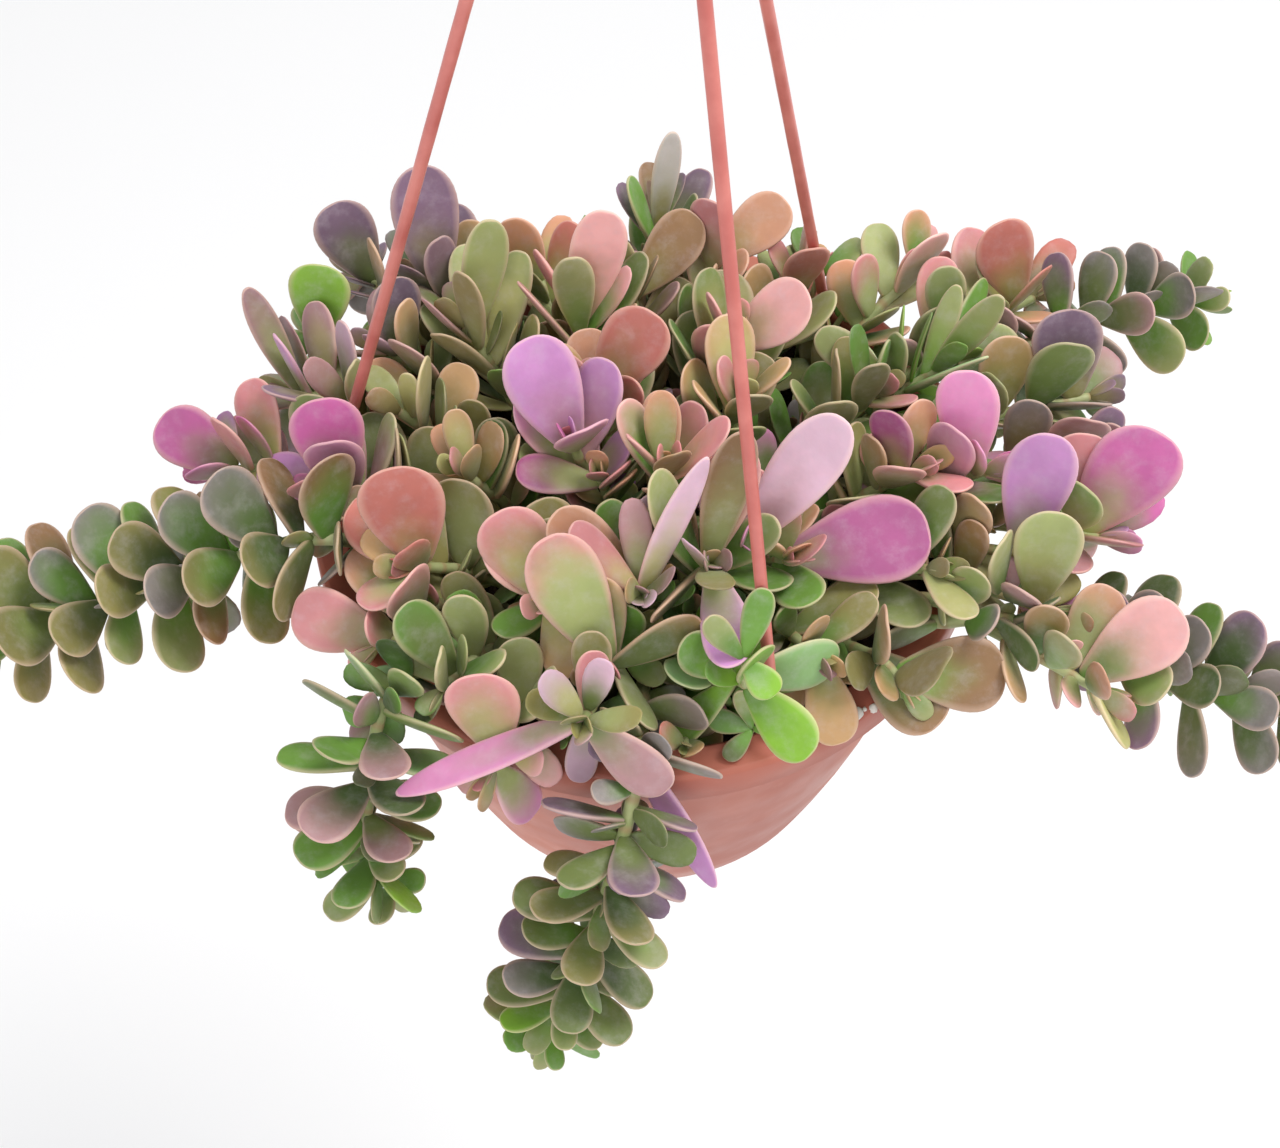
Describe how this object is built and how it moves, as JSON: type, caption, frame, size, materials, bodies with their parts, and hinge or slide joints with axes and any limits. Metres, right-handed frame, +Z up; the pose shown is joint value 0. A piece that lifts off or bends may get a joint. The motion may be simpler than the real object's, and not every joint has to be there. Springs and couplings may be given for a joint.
{
  "type": "senecio jacobsenii in a hanging pot",
  "caption": "Trailing succulent with thick spoon-shaped pink, mauve and green leaves, planted in a round hanging pot with a lipped rim, strands and a hook.",
  "frame": {"origin": "the point inside the top of the hook's bend where it bears on the rail or bracket that it hangs from", "axes": "+Z up along the pot's axis, -Y to the front of the pot, +X to its right as seen from the front"},
  "size_m": [0.4804, 0.3007, 0.5649],
  "materials": {
    "pot_plastic": "terracotta-pink moulded plastic, satin",
    "hanger_plastic": "coral-pink moulded plastic, satin",
    "soil": "dark potting soil",
    "leaf_plum": "grey-plum leaf with a waxy bloom",
    "leaf_mauve": "mauve-green leaf with a waxy bloom",
    "leaf_rose": "rose leaf over a pale green foot",
    "leaf_coral": "coral-red leaf",
    "leaf_peach": "peach and tan leaf",
    "leaf_orchid": "orchid-pink leaf with a pale bloom",
    "leaf_olive": "olive leaf with a tan margin",
    "leaf_green": "mid green leaf",
    "leaf_bright": "bright green young leaf"
  },
  "bodies": {
    "root": {"pot": "pot_plastic", "soil": "soil", "hook": "hanger_plastic", "strand_front": "hanger_plastic", "strand_back": "hanger_plastic", "strand_left": "hanger_plastic", "stem_plum_left": "leaf_plum", "stem_green_left": "leaf_bright", "stem_mauve_left": "leaf_mauve", "stem_grey_tall": "leaf_plum", "stem_long_mauve": "leaf_mauve", "stem_coral_back": "leaf_coral", "stem_rose_back": "leaf_rose", "stem_brown_back": "leaf_olive", "stem_silver_back": "leaf_plum", "stem_peach_back": "leaf_peach", "stem_pink_big": "leaf_rose", "stem_coral_right": "leaf_coral", "stem_pink_back": "leaf_rose", "stem_coral_far": "leaf_coral", "stem_mauve_far": "leaf_plum", "stem_rose_m": "leaf_rose", "stem_star_green": "leaf_bright", "stem_pale_green": "leaf_green", "stem_plum_right": "leaf_plum", "stem_orchid_a": "leaf_orchid", "stem_orchid_b": "leaf_orchid", "stem_magenta_r": "leaf_orchid", "stem_palegreen_r": "leaf_rose", "stem_olive_r": "leaf_olive", "stem_rose_cr": "leaf_rose", "stem_violet_cr": "leaf_orchid", "stem_hotpink": "leaf_rose", "stem_palegreen_cr": "leaf_green", "stem_tan_cr": "leaf_olive", "stem_brown_cr": "leaf_olive", "stem_lilac_m": "leaf_orchid", "stem_coral_m": "leaf_coral", "stem_cream_m": "leaf_peach", "stem_tall_m": "leaf_mauve", "stem_lilac_n": "leaf_mauve", "stem_magenta_m": "leaf_rose", "stem_rose_ml": "leaf_rose", "stem_big_green": "leaf_green", "stem_violet_front": "leaf_mauve", "stem_bright_m": "leaf_bright", "stem_rose_front": "leaf_rose", "stem_magenta_l": "leaf_orchid", "stem_mauve_l": "leaf_mauve", "stem_pink_l": "leaf_orchid", "stem_coral_l": "leaf_coral", "stem_peach_l": "leaf_peach", "stem_tan_l": "leaf_peach", "stem_pink_low": "leaf_rose", "stem_grey_low": "leaf_green", "stem_trail_left": "leaf_olive", "stem_trail_right": "leaf_plum", "stem_trail_back": "leaf_plum", "stem_trail_front": "leaf_green", "stem_trail_spray": "leaf_green"}
  },
  "joints": []
}
